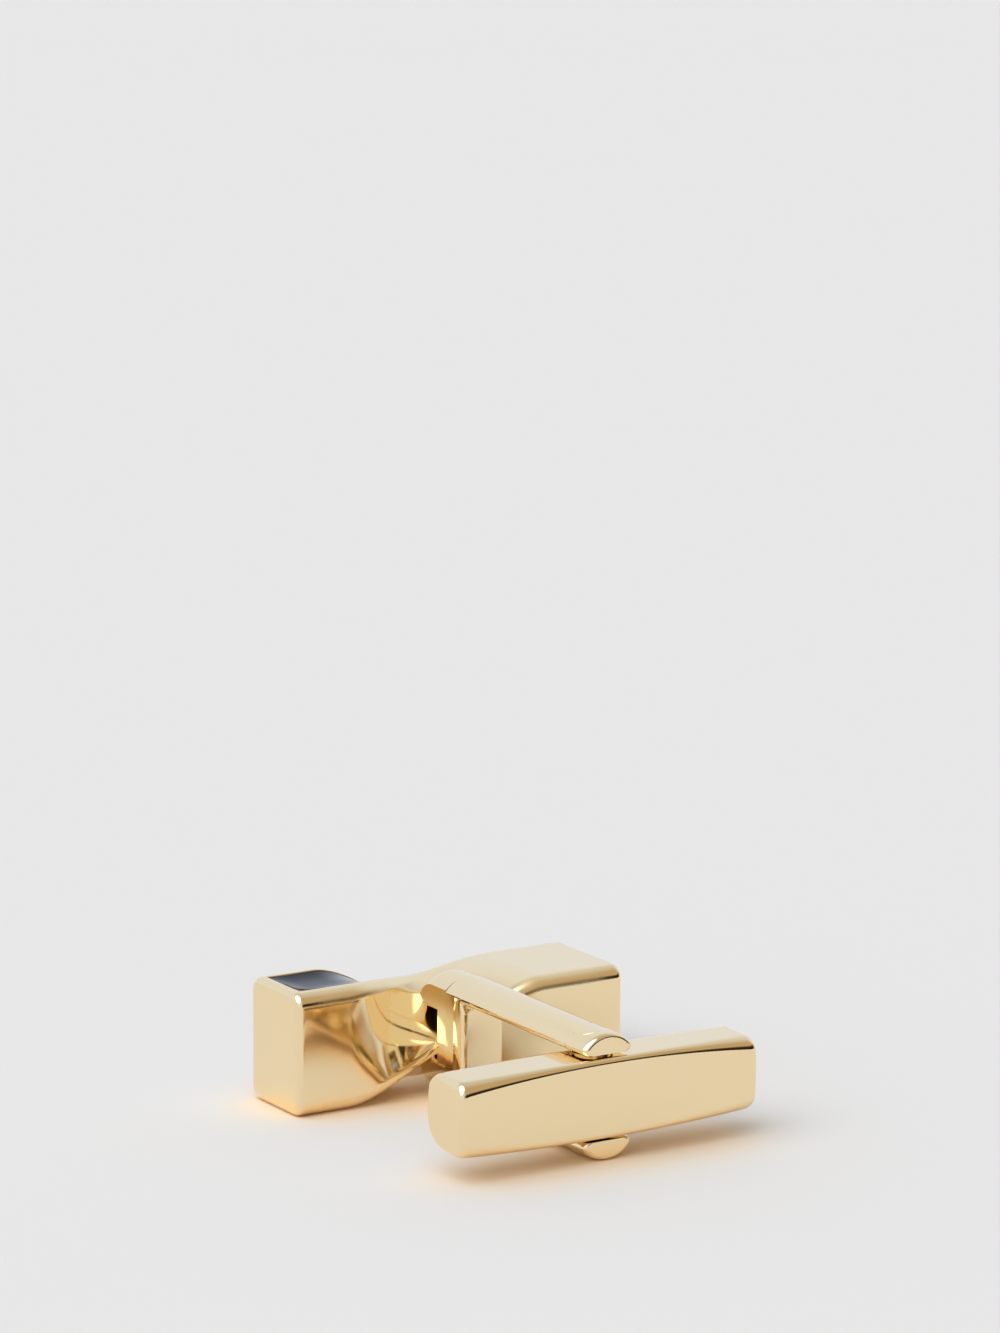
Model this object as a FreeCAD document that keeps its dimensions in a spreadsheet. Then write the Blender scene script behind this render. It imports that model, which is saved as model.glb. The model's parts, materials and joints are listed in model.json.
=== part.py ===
"""A swivel-bar cufflink: a quarter-twisted bar head with an enamelled face, a U-shaped post brazed to its
waist, and a crowned toggle that turns on a rivet between the tips of the post.

It lies on its side, as it does on a table: X runs along the head, the post points to -Y, Z is up.
The pieces are drawn about the middle of the head and then placed together on the table."""
import FreeCAD, Part
import math
import os
import Sketcher
from FreeCAD import Vector

# Driving dimensions, in millimetres; twist_angle is in degrees and waist is a share of the section.
SIZES = {
    "head_length": 18.0,
    "bar_depth": 4.6,
    "bar_height": 6.1,
    "left_block": 3.0,
    "right_block": 4.5,
    "twist_angle": 90.0,
    "waist": 0.3,
    "edge_radius": 0.7,
    "end_radius": 0.35,
    "rim": 0.76,
    "end_rim": 0.5,
    "recess_depth": 0.4,
    "enamel_drop": 0.06,
    "post_width": 2.7,
    "post_thickness": 1.0,
    "post_lip": 0.2,
    "bend_radius": 0.5,
    "web_distance": 4.27,
    "pivot_distance": 14.0,
    "tip_overhang": 1.45,
    "tip_round": 0.12,
    "root_width": 2.5,
    "root_height": 5.6,
    "root_back": 0.6,
    "root_round": 1.2,
    "root_thickness": 0.8,
    "lug_thickness": 1.6,
    "braze_thickness": 0.17,
    "rivet_diameter": 1.8,
    "rivet_flats": 1.26,
    "rivet_round": 0.08,
    "running_clearance": 0.04,
    "toggle_length": 16.5,
    "toggle_front": 1.75,
    "toggle_back": 1.3,
    "toggle_crown": 0.12,
    "toggle_clearance": 0.12,
    "front_radius": 0.42,
    "back_radius": 1.4,
    "slot_length": 9.0,
    "slot_height": 1.5,
    "spring_thickness": 0.22,
    "spring_bow": 0.27,
    "spring_end_gap": 0.2,
    "spring_side_gap": 0.1,
    "spring_clearance": 0.03,
}

# Sections along the twist, from its start to its end.
TWIST_SECTIONS = 11

# How far a cutting shape runs past the surface that it cuts.
OVERCUT = 1.0

doc = FreeCAD.newDocument("cufflink")
sheet = doc.addObject("Spreadsheet::Sheet", "sizes")


def fill_sheet():
    for row, (alias, number) in enumerate(SIZES.items(), start=1):
        sheet.set(f"A{row}", alias)
        sheet.set(f"B{row}", str(number))
        sheet.setAlias(f"B{row}", alias)
    doc.recompute()


def named(text):
    """Write each size in a formula as a reference to its cell."""
    words = []
    word = ""
    for mark in text + " ":
        if mark.isalnum() or mark == "_":
            word += mark
            continue
        words.append(f"sizes.{word}" if word in SIZES else word)
        words.append(mark)
        word = ""
    return "".join(words).strip()


def number(text):
    return float(sheet.evalExpression(named(text)))


def new_body(label):
    body = doc.addObject("PartDesign::Body", label)
    body.Label = label
    return body


def origin_plane(body, role):
    return next(plane for plane in body.Origin.OriginFeatures if plane.Role == role)


def new_sketch(body, name, role, offset="0", turn="0"):
    """A sketch on an origin plane, moved along the plane's normal and turned about it."""
    sketch = body.newObject("Sketcher::SketchObject", name)
    sketch.AttachmentSupport = [(origin_plane(body, role), "")]
    sketch.MapMode = "FlatFace"
    sketch.setExpression("AttachmentOffset.Base.z", named(offset))
    sketch.setExpression("AttachmentOffset.Rotation.Angle", named(turn))
    return sketch


def bind(sketch, constraint, text):
    sketch.setExpression(f"Constraints[{sketch.addConstraint(constraint)}]", named(text))


def arc_between(start, end, radius, convex):
    """The arc under half a circle from start to end, bulging out of a counter-clockwise outline or into it."""
    chord = end - start
    rise = math.sqrt(max(radius ** 2 - (chord.Length / 2) ** 2, 0.0))
    inward = Vector(-chord.y, chord.x, 0).normalize()
    centre = (start + end) * 0.5 + inward * (rise if convex else -rise)
    first, last = (start, end) if convex else (end, start)
    angles = [math.atan2(point.y - centre.y, point.x - centre.x) for point in (first, last)]
    return Part.ArcOfCircle(Part.Circle(centre, Vector(0, 0, 1), radius), *angles)


def draw_outline(sketch, corners, arcs=None, hollows=None, closed=True):
    """Draw lines and arcs through corners given as pairs of formulas, and bind every corner to them.

    arcs and hollows give the radius of each side that bulges out or in, by the number of its first corner."""
    arcs = arcs or {}
    hollows = hollows or {}
    points = [Vector(number(x), number(y), 0) for x, y in corners]
    count = len(corners)
    sides = []
    for index in range(count if closed else count - 1):
        start, end = points[index], points[(index + 1) % count]
        radius = arcs.get(index) or hollows.get(index)
        if radius is None:
            side = sketch.addGeometry(Part.LineSegment(start, end), False)
        else:
            side = sketch.addGeometry(arc_between(start, end, number(radius), index in arcs), False)
            bind(sketch, Sketcher.Constraint("Radius", side, number(radius)), radius)
        sides.append((side, 2, 1) if index in hollows else (side, 1, 2))
    for index in range(len(sides) if closed else len(sides) - 1):
        here, after = sides[index], sides[(index + 1) % len(sides)]
        sketch.addConstraint(Sketcher.Constraint("Coincident", here[0], here[2], after[0], after[1]))
    for index, (x, y) in enumerate(corners):
        side, place = (sides[index][0], sides[index][1]) if index < len(sides) else (sides[-1][0], sides[-1][2])
        bind(sketch, Sketcher.Constraint("DistanceX", -1, 1, side, place, points[index].x), x)
        bind(sketch, Sketcher.Constraint("DistanceY", -1, 1, side, place, points[index].y), y)


def draw_circle(sketch, centre_y, radius):
    middle = Vector(0, number(centre_y), 0)
    circle = sketch.addGeometry(Part.Circle(middle, Vector(0, 0, 1), number(radius)), False)
    sketch.addConstraint(Sketcher.Constraint("PointOnObject", circle, 3, -2))
    bind(sketch, Sketcher.Constraint("DistanceY", -1, 1, circle, 3, middle.y), centre_y)
    bind(sketch, Sketcher.Constraint("Radius", circle, number(radius)), radius)


def draw_rectangle(sketch, left, right, low, high):
    draw_outline(sketch, [(left, low), (right, low), (right, high), (left, high)])


def draw_rounded_rectangle(sketch, width, height, radius):
    """A rectangle about the sketch's origin with its four corners rounded."""
    x, y = f"({width})/2", f"({height})/2"
    near_x, near_y = f"({x} - ({radius}))", f"({y} - ({radius}))"
    corners = [(f"-{near_x}", f"-{y}"), (near_x, f"-{y}"), (x, f"-{near_y}"), (x, near_y),
               (near_x, y), (f"-{near_x}", y), (f"-{x}", near_y), (f"-{x}", f"-{near_y}")]
    draw_outline(sketch, corners, arcs={side: radius for side in (1, 3, 5, 7)})


def add_feature(body, kind, name, sketch, length, reverse=False, midplane=False):
    """A pad or a pocket of one length, which has to add or take away material."""
    doc.recompute()
    before = body.Shape.Volume if body.Tip else 0.0
    feature = body.newObject(f"PartDesign::{kind}", name)
    feature.Profile = sketch
    feature.Reversed = reverse
    feature.Midplane = midplane
    feature.setExpression("Length", named(length))
    doc.recompute()
    change = feature.Shape.Volume - before
    if (change <= 0) if kind == "Pad" else (change >= 0):
        raise RuntimeError(f"{name} changes nothing: {change:.4f} mm3")
    return feature


def add_loft(body, kind, name, sketches):
    loft = body.newObject(f"PartDesign::{kind}", name)
    loft.Profile = sketches[0]
    loft.Sections = sketches[1:]
    return loft


def add_fillet(body, name, chosen, radius):
    """Round the edges of the body's present shape that chosen accepts."""
    doc.recompute()
    base = body.Tip
    edges = [f"Edge{i}" for i, edge in enumerate(base.Shape.Edges, start=1) if chosen(edge)]
    fillet = body.newObject("PartDesign::Fillet", name)
    fillet.Base = (base, edges)
    fillet.setExpression("Radius", named(radius))
    doc.recompute()
    return fillet


def lies_on(edge, axis, level):
    """True where every point of the edge has this coordinate."""
    box = edge.BoundBox
    low, high = {"X": (box.XMin, box.XMax), "Y": (box.YMin, box.YMax), "Z": (box.ZMin, box.ZMax)}[axis]
    return abs(low - level) < 1e-4 and abs(high - level) < 1e-4


# The head: a bar whose section turns a quarter and narrows to a waist between two straight end blocks.
TWIST_START = "(left_block - head_length/2)"
TWIST_LENGTH = "(head_length - left_block - right_block)"


def twist_stations():
    """Place, turn and scale of each section along the twist."""
    for step in range(TWIST_SECTIONS):
        share = step / (TWIST_SECTIONS - 1)
        eased = share * share * (3 - 2 * share)
        bump = (4 * share * (1 - share)) ** 2
        place = f"{TWIST_START} + {share} * {TWIST_LENGTH}"
        yield place, f"-twist_angle * {eased}", f"(1 - waist * {bump})"


def draw_bar_section(sketch, scale="1"):
    draw_rounded_rectangle(sketch, f"bar_depth * {scale}", f"bar_height * {scale}", f"edge_radius * {scale}")


def draw_face_strip(sketch, scale, top):
    """The strip that the enamel fills, in the face that is on top at the left end."""
    half = f"(bar_depth * {scale}/2 - rim)"
    floor = f"bar_height * {scale}/2 - recess_depth"
    draw_rectangle(sketch, f"-{half}", half, floor, f"bar_height * {scale}/2 + {top}")


def make_head_bar():
    body = new_body("head_bar")
    sections = []
    for index, (place, turn, scale) in enumerate(twist_stations()):
        sketch = new_sketch(body, f"twist_section_{index}", "YZ_Plane", place, turn)
        draw_bar_section(sketch, scale)
        sections.append(sketch)
    add_loft(body, "AdditiveLoft", "twist", sections)

    left = new_sketch(body, "left_section", "YZ_Plane", "-head_length/2")
    draw_bar_section(left)
    add_feature(body, "Pad", "left_end", left, "left_block")
    right = new_sketch(body, "right_section", "YZ_Plane", "head_length/2", "-twist_angle")
    draw_bar_section(right)
    add_feature(body, "Pad", "right_end", right, "right_block", reverse=True)
    half_length = number("head_length/2")
    add_fillet(body, "end_rounds", lambda edge: any(lies_on(edge, "X", s * half_length) for s in (1, -1)),
               "end_radius")

    root = new_sketch(body, "root_outline", "YZ_Plane")
    half, bend = "root_height/2", "-(root_back + root_round)"
    inner, hollow = f"({half} - lug_thickness)", f"-({SEAT_DISTANCE} - root_thickness)"
    draw_outline(root, [(f"-{SEAT_DISTANCE}", f"-{half}"), (bend, f"-{half}"),
                        ("-root_back", f"-({half} - root_round)"), ("-root_back", f"-{inner}"),
                        (hollow, f"-{inner}"), (hollow, inner), ("-root_back", inner),
                        ("-root_back", f"{half} - root_round"), (bend, half), (f"-{SEAT_DISTANCE}", half)],
                 arcs={1: "root_round", 7: "root_round"})
    add_feature(body, "Pad", "root", root, "root_width", midplane=True)

    recess = []
    for index, (place, turn, scale) in enumerate(twist_stations()):
        sketch = new_sketch(body, f"recess_section_{index}", "YZ_Plane", place, turn)
        draw_face_strip(sketch, scale, OVERCUT)
        recess.append(sketch)
    add_loft(body, "SubtractiveLoft", "twist_recess", recess)
    left = new_sketch(body, "left_recess_section", "YZ_Plane", "end_rim - head_length/2")
    draw_face_strip(left, "1", OVERCUT)
    add_feature(body, "Pocket", "left_recess", left, "left_block - end_rim", reverse=True)
    right = new_sketch(body, "right_recess_section", "YZ_Plane", "head_length/2 - end_rim", "-twist_angle")
    draw_face_strip(right, "1", OVERCUT)
    add_feature(body, "Pocket", "right_recess", right, "right_block - end_rim")
    return body


def make_enamel_inlay():
    """Dark enamel that fills the recess to just below the rim, from end to end."""
    body = new_body("enamel_inlay")
    sections = []
    for index, (place, turn, scale) in enumerate(twist_stations()):
        sketch = new_sketch(body, f"enamel_section_{index}", "YZ_Plane", place, turn)
        draw_face_strip(sketch, scale, "-enamel_drop")
        sections.append(sketch)
    add_loft(body, "AdditiveLoft", "twisted_enamel", sections)
    left = new_sketch(body, "left_enamel_section", "YZ_Plane", "end_rim - head_length/2")
    draw_face_strip(left, "1", "-enamel_drop")
    add_feature(body, "Pad", "left_enamel", left, "left_block - end_rim")
    right = new_sketch(body, "right_enamel_section", "YZ_Plane", "head_length/2 - end_rim", "-twist_angle")
    draw_face_strip(right, "1", "-enamel_drop")
    add_feature(body, "Pad", "right_enamel", right, "right_block - end_rim", reverse=True)
    return body


# The post: half-round strip bent to a U, flat inside and domed outside, level with the bar's sides.
HALF_GAP = "(bar_height/2 - post_thickness)"
DOME_RISE = "(post_thickness - post_lip)"
DOME_RADIUS = f"(((post_width/2)^2 + {DOME_RISE}^2) / (2 * {DOME_RISE}))"
TIP_DISTANCE = "(pivot_distance + tip_overhang)"
SEAT_DISTANCE = "(web_distance - post_thickness - braze_thickness)"


def make_post():
    body = new_body("post")
    bend_start = "-(web_distance + bend_radius)"
    web_end = f"({HALF_GAP} - bend_radius)"
    path = new_sketch(body, "post_path", "YZ_Plane")
    draw_outline(path, [(f"-{TIP_DISTANCE}", f"-{HALF_GAP}"), (bend_start, f"-{HALF_GAP}"),
                        ("-web_distance", f"-{web_end}"), ("-web_distance", web_end),
                        (bend_start, HALF_GAP), (f"-{TIP_DISTANCE}", HALF_GAP)],
                 arcs={1: "bend_radius", 3: "bend_radius"}, closed=False)
    strip = new_sketch(body, "strip_section", "XZ_Plane", TIP_DISTANCE)
    lip = f"-({HALF_GAP} + post_lip)"
    draw_outline(strip, [("-post_width/2", lip), ("post_width/2", lip),
                         ("post_width/2", f"-{HALF_GAP}"), ("-post_width/2", f"-{HALF_GAP}")],
                 arcs={0: DOME_RADIUS})
    pipe = body.newObject("PartDesign::AdditivePipe", "bent_strip")
    pipe.Profile = strip
    pipe.Spine = (path, [f"Edge{index}" for index in range(1, 6)])
    doc.recompute()
    tip = -number(TIP_DISTANCE)
    add_fillet(body, "tip_rounds", lambda edge: lies_on(edge, "Y", tip) and edge.Curve.TypeId != "Part::GeomLine",
               "tip_round")
    hole = new_sketch(body, "rivet_hole_outline", "XY_Plane")
    draw_circle(hole, "-pivot_distance", "rivet_diameter/2")
    add_feature(body, "Pocket", "rivet_holes", hole, f"bar_height + {OVERCUT}", midplane=True)
    return body


def make_braze_joint():
    """Brazing metal between the head's root and the straight domed back of the post."""
    body = new_body("braze_joint")
    outline = new_sketch(body, "braze_outline", "XY_Plane")
    dome_centre = f"(web_distance - post_thickness + {DOME_RADIUS})"
    edge = f"-({dome_centre} - sqrt({DOME_RADIUS}^2 - (root_width/2)^2))"
    draw_outline(outline, [("-root_width/2", edge), ("root_width/2", edge),
                           ("root_width/2", f"-{SEAT_DISTANCE}"), ("-root_width/2", f"-{SEAT_DISTANCE}")],
                 hollows={0: DOME_RADIUS})
    add_feature(body, "Pad", "braze", outline, f"2 * ({HALF_GAP} - bend_radius)", midplane=True)
    return body


# The rivet: round where it passes the post and the toggle, squared where the spring bears on it.
def make_pivot_rivet():
    body = new_body("pivot_rivet")
    round_length = "(bar_height - slot_height)/2"
    for name, offset in (("lower_shank", "-bar_height/2"), ("upper_shank", "slot_height/2")):
        shank = new_sketch(body, f"{name}_outline", "XY_Plane", offset)
        draw_circle(shank, "-pivot_distance", "rivet_diameter/2")
        add_feature(body, "Pad", name, shank, round_length)
        if name == "lower_shank":
            square = new_sketch(body, "square_outline", "XY_Plane", "-slot_height/2")
            half = "rivet_flats/2"
            draw_rectangle(square, f"-{half}", half, f"-(pivot_distance + {half})", f"-(pivot_distance - {half})")
            add_feature(body, "Pad", "squared_middle", square, "slot_height")
    ends = [number("bar_height/2"), -number("bar_height/2")]
    add_fillet(body, "end_rounds", lambda edge: any(lies_on(edge, "Z", end) for end in ends), "rivet_round")
    return body


# The toggle: a crowned bar with a slot in its back for the click spring and a bore for the rivet.
MIDDLE_HALF = f"({HALF_GAP} - toggle_clearance)"
END_HALF = f"({MIDDLE_HALF} - toggle_crown)"
CROWN_RADIUS = "(((toggle_length/2)^2 + toggle_crown^2) / (2 * toggle_crown))"
SPRING_FACE = "(rivet_flats/2 + spring_clearance)"
SLOT_FLOOR = f"({SPRING_FACE} + spring_thickness + spring_bow)"
# The rounds of the back are limited by the wall: both together leave a tenth of the end's height flat.
BACK_ROUND = f"min(back_radius; 0.9 * {END_HALF})"


def make_toggle_bar():
    body = new_body("toggle_bar")
    front = new_sketch(body, "crowned_outline", "XZ_Plane", "pivot_distance - toggle_back")
    half = "toggle_length/2"
    draw_outline(front, [(f"-{half}", f"-{END_HALF}"), (half, f"-{END_HALF}"), (half, END_HALF),
                         (f"-{half}", END_HALF)], arcs={0: CROWN_RADIUS, 2: CROWN_RADIUS})
    add_feature(body, "Pad", "bar", front, "toggle_back + toggle_front")
    ends = [number(half), -number(half)]
    front_level = -number("pivot_distance + toggle_front")
    back_level = -number("pivot_distance - toggle_back")
    add_fillet(body, "back_rounds", lambda edge: lies_on(edge, "Y", back_level) and edge.BoundBox.XLength > 1e-3,
               BACK_ROUND)
    add_fillet(body, "front_rounds", lambda edge: lies_on(edge, "Y", front_level)
               or any(lies_on(edge, "X", end) for end in ends), "front_radius")

    slot = new_sketch(body, "slot_outline", "XZ_Plane", f"pivot_distance - toggle_back - {OVERCUT}")
    draw_rectangle(slot, "-slot_length/2", "slot_length/2", "-slot_height/2", "slot_height/2")
    add_feature(body, "Pocket", "spring_slot", slot, f"{OVERCUT} + toggle_back + {SLOT_FLOOR}", reverse=True)
    bore = new_sketch(body, "bore_outline", "XY_Plane")
    draw_circle(bore, "-pivot_distance", "rivet_diameter/2 + running_clearance")
    add_feature(body, "Pocket", "rivet_bore", bore, f"bar_height + {OVERCUT}", midplane=True)
    return body


def make_click_spring():
    """A bowed leaf whose ends rest on the floor of the slot and whose middle bears on the rivet's flat."""
    body = new_body("click_spring")
    strip = new_sketch(body, "leaf_outline", "XY_Plane")
    half = "(slot_length/2 - spring_end_gap)"
    bow_radius = f"(({half}^2 + spring_bow^2) / (2 * spring_bow))"
    outer, inner = f"-(pivot_distance + {SLOT_FLOOR})", f"-(pivot_distance + {SLOT_FLOOR} - spring_thickness)"
    draw_outline(strip, [(f"-{half}", outer), (half, outer), (half, inner), (f"-{half}", inner)],
                 arcs={2: bow_radius}, hollows={0: bow_radius})
    add_feature(body, "Pad", "leaf", strip, "slot_height - 2*spring_side_gap", midplane=True)
    return body


def place_on_table(bodies):
    """Stand the lowest faces on Z = 0, with the middle of the plan at the origin."""
    for body in bodies:
        body.setExpression("Placement.Base.y", named("(pivot_distance + toggle_front - bar_height/2)/2"))
        body.setExpression("Placement.Base.z", named("bar_height/2"))
    doc.recompute()


def check_document(bodies):
    failed = [item.Name for item in doc.Objects if {"Invalid", "Error"} & set(item.State)]
    if failed:
        raise RuntimeError(f"failed objects: {failed}")
    for body in bodies:
        shape = body.Shape
        if shape.isNull() or not shape.isValid() or len(shape.Solids) != 1:
            raise RuntimeError(f"{body.Label} is not one valid solid")


def main():
    fill_sheet()
    bodies = [make_head_bar(), make_enamel_inlay(), make_braze_joint(), make_post(), make_pivot_rivet(),
              make_toggle_bar(), make_click_spring()]
    place_on_table(bodies)
    check_document(bodies)
    os.makedirs("parts", exist_ok=True)
    for body in bodies:
        body.Shape.exportStep(f"parts/{body.Label}.step")
        box = body.Shape.BoundBox
        print(f"{body.Label}: {body.Shape.Volume:.3f} mm3, X {box.XMin:.2f}..{box.XMax:.2f}, "
              f"Y {box.YMin:.2f}..{box.YMax:.2f}, Z {box.ZMin:.2f}..{box.ZMax:.2f}")


main()
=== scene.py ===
# %% [markdown]
# # A swivel-bar cufflink
# The object is small and mirror bright: a bar twisted a quarter turn, a U-shaped post and a crowned
# toggle, all in polished gold plate, with dark enamel along one face of the bar. A mirror shows every
# fault of the skin under it, so each visible piece is modelled here as a clean, smooth mesh. The packed
# model gives the places and the main sizes.

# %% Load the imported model
import json
import math

import bmesh
import bpy
from mathutils import Matrix, Vector


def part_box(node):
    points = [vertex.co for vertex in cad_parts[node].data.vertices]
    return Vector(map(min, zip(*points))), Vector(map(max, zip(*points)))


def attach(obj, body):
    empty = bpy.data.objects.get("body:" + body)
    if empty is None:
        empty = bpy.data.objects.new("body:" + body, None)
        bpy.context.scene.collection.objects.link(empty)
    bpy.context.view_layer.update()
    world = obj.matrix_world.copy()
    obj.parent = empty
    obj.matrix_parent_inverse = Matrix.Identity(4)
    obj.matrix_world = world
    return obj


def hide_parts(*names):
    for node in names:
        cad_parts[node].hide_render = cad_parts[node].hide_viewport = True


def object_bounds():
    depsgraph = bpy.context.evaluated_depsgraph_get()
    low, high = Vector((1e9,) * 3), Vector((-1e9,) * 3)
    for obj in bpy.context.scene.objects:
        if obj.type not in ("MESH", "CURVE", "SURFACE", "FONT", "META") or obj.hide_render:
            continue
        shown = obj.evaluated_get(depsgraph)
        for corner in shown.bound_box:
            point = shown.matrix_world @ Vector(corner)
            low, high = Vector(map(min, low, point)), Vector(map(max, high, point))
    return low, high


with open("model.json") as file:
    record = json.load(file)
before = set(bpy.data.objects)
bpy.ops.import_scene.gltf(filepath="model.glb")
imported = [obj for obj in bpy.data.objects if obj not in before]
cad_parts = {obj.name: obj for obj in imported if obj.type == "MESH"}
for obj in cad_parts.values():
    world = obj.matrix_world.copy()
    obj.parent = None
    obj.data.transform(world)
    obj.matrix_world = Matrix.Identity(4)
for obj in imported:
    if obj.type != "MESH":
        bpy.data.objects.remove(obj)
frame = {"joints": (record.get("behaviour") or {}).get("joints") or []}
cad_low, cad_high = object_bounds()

MM = 0.001


def box_in_mm(node):
    """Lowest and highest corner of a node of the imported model."""
    low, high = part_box(node)
    return low / MM, high / MM


PIVOT = Vector(frame["joints"][0]["pos_m"]) / MM
print("packed model, mm:", [round(side / MM, 2) for side in cad_high - cad_low])

# %% [markdown]
# ## Skins over rings
# The bar, the toggle, the rivet and the leaf spring are all sections that change along a line. Such a
# piece can be a box with bevels, but a bevel gives little say over how its width changes. Here each
# section is a ring of points, and a skin joins one ring to the next. Flat ends get a narrow band just
# inside the edge, so that the shading of the rounding doesn't run out over the flat.

# %% Helpers that turn rings into closed meshes
WELD = 1e-7
END_BAND = 0.03
SHARP_ANGLE = math.radians(38)


def close_end(work, row):
    """Fill a flat end: a narrow band inside its edge, then a fan to the middle."""
    middle = sum((corner.co for corner in row), Vector()) / len(row)
    hub = work.verts.new(middle)
    inner = [work.verts.new(corner.co.lerp(middle, END_BAND)) for corner in row]
    for index in range(len(row)):
        after = (index + 1) % len(row)
        work.faces.new((row[index], row[after], inner[after], inner[index]))
        work.faces.new((inner[index], inner[after], hub))


def finish_mesh(name, work):
    """Weld what coincides, turn the faces outwards and make a smooth mesh with its sharp edges marked."""
    bmesh.ops.remove_doubles(work, verts=work.verts, dist=WELD)
    bmesh.ops.dissolve_degenerate(work, edges=work.edges, dist=WELD)
    bmesh.ops.recalc_face_normals(work, faces=work.faces)
    for face in work.faces:
        face.smooth = True
    mesh = bpy.data.meshes.new(name)
    work.to_mesh(mesh)
    work.free()
    mesh.set_sharp_from_angle(angle=SHARP_ANGLE)
    return mesh


def add_skin(work, rings):
    """Join each ring of points, in millimetres, to the next, and close both ends."""
    rows = [[work.verts.new(Vector(point) * MM) for point in ring] for ring in rings]
    for here, there in zip(rows, rows[1:]):
        for index in range(len(here)):
            after = (index + 1) % len(here)
            work.faces.new((here[index], here[after], there[after], there[index]))
    close_end(work, rows[0])
    close_end(work, rows[-1])


def skin(name, *rows_of_rings):
    """One object with a closed skin over each row of rings."""
    work = bmesh.new()
    for rings in rows_of_rings:
        add_skin(work, rings)
    piece = bpy.data.objects.new(name, finish_mesh(name, work))
    bpy.context.scene.collection.objects.link(piece)
    return piece


def volume_in_mm3(piece):
    """Volume inside a mesh, which is negative where the skin is inside out."""
    work = bmesh.new()
    work.from_mesh(piece.data)
    volume = work.calc_volume(signed=True) / MM ** 3
    work.free()
    return volume


def tell(piece):
    """Print what was made: a closed skin that faces outwards has a positive volume."""
    print(f"{piece.name}: {len(piece.data.polygons)} faces, {volume_in_mm3(piece):.1f} mm3")


# %% [markdown]
# Most rings are rectangles with rounded corners. A straight side needs no points for its shape, but a
# smooth shader blends over each face, so a side gets points close to its corners, where the blend then
# stops.

# %% Helpers for the outline of a ring
ARC_STEPS = 10
SIDE_SHARES = (0.02, 0.14, 0.32, 0.5, 0.68, 0.86, 0.98)


def quarter(steps=ARC_STEPS):
    """Angles from 0 to 90 degrees, in radians."""
    return [math.pi / 2 * step / steps for step in range(steps + 1)]


def plain_side(start, end):
    """Points between two corners."""
    return [tuple(a + (b - a) * share for a, b in zip(start, end)) for share in SIDE_SHARES]


def rounded_outline(left, right, low, high, radii, top=None):
    """A rectangle with its corners rounded, anticlockwise from low right; radii are in the same order.

    top takes the place of the plain points along the upper side."""
    turns = [(right, low, 1, -1), (right, high, 1, 1), (left, high, -1, 1), (left, low, -1, -1)]
    arcs = []
    for number, ((x, y, out_x, out_y), radius) in enumerate(zip(turns, radii)):
        angles = [math.pi / 2 * (number - 1) + angle for angle in quarter()]
        middle_x, middle_y = x - out_x * radius, y - out_y * radius
        arcs.append([(middle_x + radius * math.cos(angle), middle_y + radius * math.sin(angle))
                     for angle in angles])
    outline = []
    for number, points in enumerate(arcs):
        outline += points
        after = arcs[(number + 1) % len(arcs)]
        outline += top if top and number == 1 else plain_side(points[-1], after[0])
    return outline


print("points in a rounded outline:", 4 * (len(quarter()) + len(SIDE_SHARES)))

# %% [markdown]
# ## Finishes
# A finish is a small tree of nodes. Its nodes could be wired by hand in the editor. A script needs a few
# helpers to do that in short lines: one adds a node and sets or links its inputs, one starts a finish,
# and the others are steps that several finishes share. All patterns read Object coordinates, in metres.

# %% Node helpers
NOISE_LOW = 0.3
NOISE_HIGH = 0.7


def add_node(tree, kind, inputs=None, **settings):
    """A node with its settings made and its inputs set or linked, by name or number."""
    made = tree.nodes.new(kind)
    for name, value in settings.items():
        setattr(made, name, value)
    for key, value in (inputs or {}).items():
        socket = made.inputs[key]
        if isinstance(value, bpy.types.NodeSocket):
            tree.links.new(value, socket)
        else:
            socket.default_value = value
    return made


def new_finish(name):
    """A material with an empty tree, its principled shader and the object's own coordinates."""
    finish = bpy.data.materials.new(name)
    finish.use_nodes = True
    tree = finish.node_tree
    tree.nodes.clear()
    place = add_node(tree, "ShaderNodeTexCoord").outputs["Object"]
    shader = add_node(tree, "ShaderNodeBsdfPrincipled")
    add_node(tree, "ShaderNodeOutputMaterial", {"Surface": shader.outputs["BSDF"]})
    return finish, tree, shader, place


def noise(tree, place, scale, detail=2.0, stretch=(1.0, 1.0, 1.0)):
    """Noise whose features are about 1/scale metres across, drawn out along the axes by stretch."""
    mapped = add_node(tree, "ShaderNodeMapping", {"Vector": place, "Scale": stretch}).outputs["Vector"]
    made = add_node(tree, "ShaderNodeTexNoise", {"Vector": mapped, "Scale": scale, "Detail": detail})
    return made.outputs["Fac"]


def spread(tree, value, low, high):
    """Noise gathers about a half: map its middle stretch to low and high."""
    ends = {"Value": value, "From Min": NOISE_LOW, "From Max": NOISE_HIGH, "To Min": low, "To Max": high}
    return add_node(tree, "ShaderNodeMapRange", ends).outputs["Result"]


def maths(tree, operation, first, second=0.0):
    """One step of arithmetic on two numbers or sockets."""
    return add_node(tree, "ShaderNodeMath", {0: first, 1: second}, operation=operation).outputs[0]


def mix_colour(tree, factor, first, second):
    """The first colour where the factor is 0 and the second where it is 1."""
    inputs = {0: factor, 6: first, 7: second}
    inputs = {key: (*value, 1) if isinstance(value, tuple) else value for key, value in inputs.items()}
    return add_node(tree, "ShaderNodeMix", inputs, data_type="RGBA").outputs[2]


def add_relief(tree, shader, height, strength, distance):
    """Let a pattern of heights bend the shading; distance is what a height of 1 means, in metres."""
    bump = add_node(tree, "ShaderNodeBump", {"Height": height, "Strength": strength, "Distance": distance})
    tree.links.new(bump.outputs["Normal"], shader.inputs["Normal"])


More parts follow.
